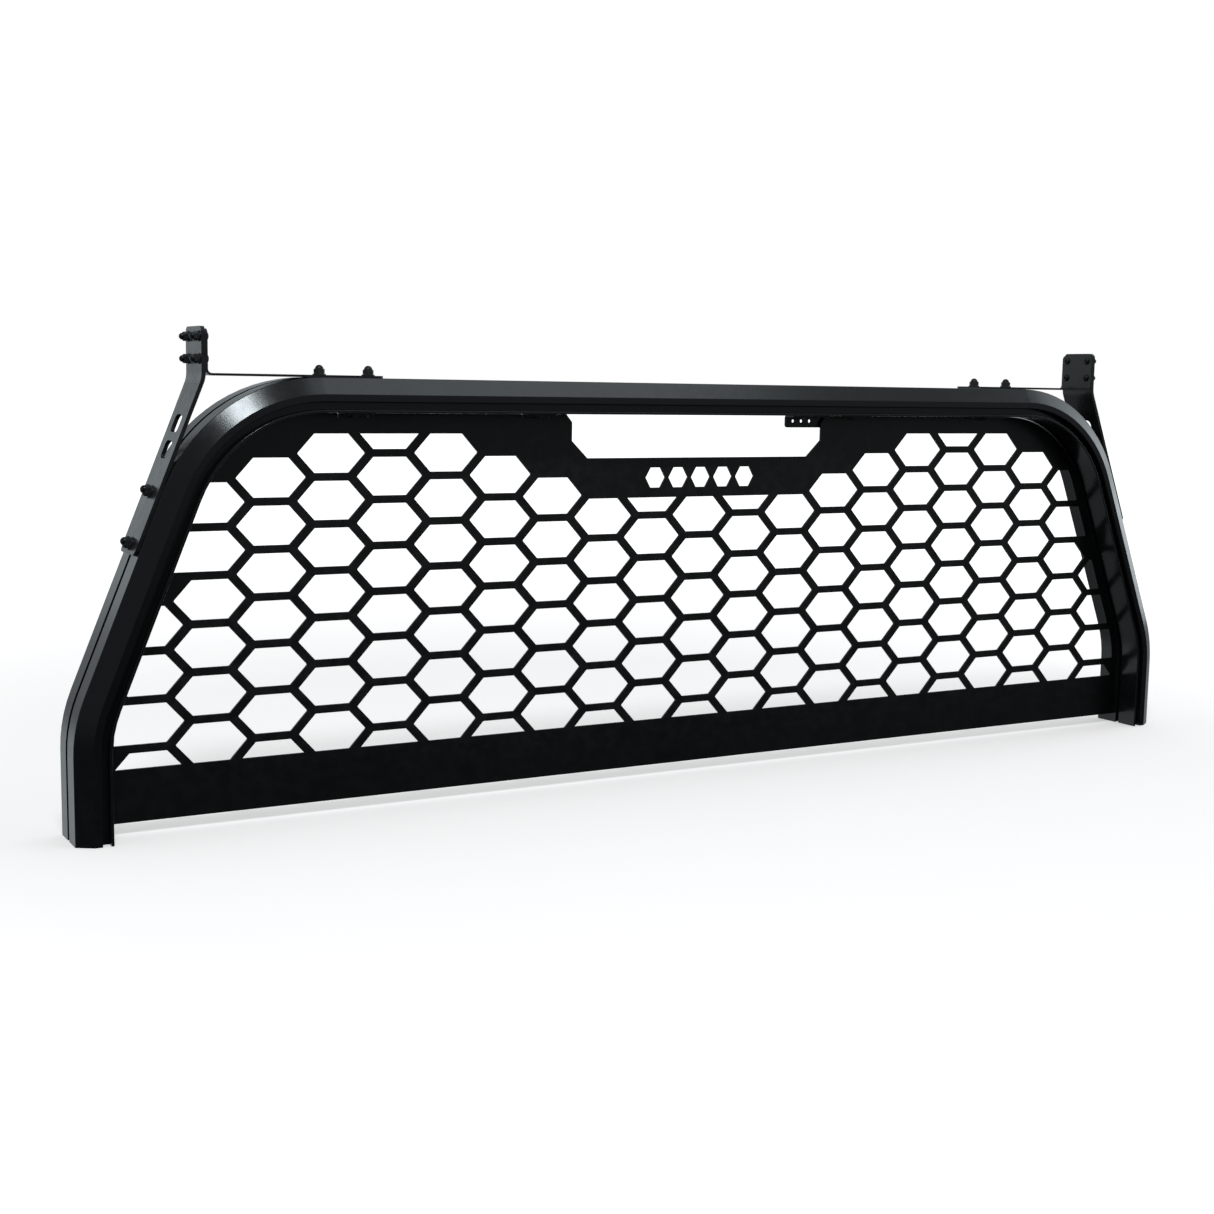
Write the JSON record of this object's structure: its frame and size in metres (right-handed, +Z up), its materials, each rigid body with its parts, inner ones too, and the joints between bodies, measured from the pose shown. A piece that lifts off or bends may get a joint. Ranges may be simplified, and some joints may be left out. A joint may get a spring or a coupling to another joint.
{
  "type": "headache rack",
  "caption": "Truck cab guard: bent slotted-channel hoop with a flat hexagon-cell screen, a window for a brake light, load stops at both corners and a sliding light bracket.",
  "frame": {"origin": "on the ground plane under the middle of the rack, centre of the overall footprint", "axes": "+X to the right across the vehicle seen from the front face, +Y through the rack towards its back, +Z up"},
  "size_m": [1.796, 0.083, 0.621],
  "materials": {
    "frame_powder_coat": "semi-gloss black powder coat on aluminium",
    "screen_powder_coat": "fine textured satin black powder coat on steel plate",
    "bracket_powder_coat": "fine textured satin black powder coat on steel",
    "black_fastener": "black zinc plated steel"
  },
  "bodies": {
    "rack": {"main_frame": "frame_powder_coat", "mesh_screen": "screen_powder_coat", "screen_screws": "black_fastener", "screen_tee_nuts": "black_fastener", "load_stop_post_left": "bracket_powder_coat", "load_stop_strap_left": "bracket_powder_coat", "stop_screws_left": "black_fastener", "stop_washers_left": "black_fastener", "stop_nuts_left": "black_fastener", "rail_tee_bolts_left": "black_fastener", "rail_washers_left": "black_fastener", "rail_nuts_left": "black_fastener", "leg_tee_bolts_left": "black_fastener", "leg_washers_left": "black_fastener", "leg_nuts_left": "black_fastener", "load_stop_post_right": "bracket_powder_coat", "load_stop_strap_right": "bracket_powder_coat", "stop_screws_right": "black_fastener", "stop_washers_right": "black_fastener", "stop_nuts_right": "black_fastener", "rail_tee_bolts_right": "black_fastener", "rail_washers_right": "black_fastener", "rail_nuts_right": "black_fastener", "leg_tee_bolts_right": "black_fastener", "leg_washers_right": "black_fastener", "leg_nuts_right": "black_fastener"},
    "light_slider": {"light_bracket": "bracket_powder_coat", "light_bracket_screw": "black_fastener", "light_bracket_tee_nut": "black_fastener"}
  },
  "joints": [
    {"name": "light_bracket_slide", "type": "slide", "parent": "rack", "child": "light_slider", "axis": [-1, 0, 0], "range_m": [0, 0.358]}
  ]
}
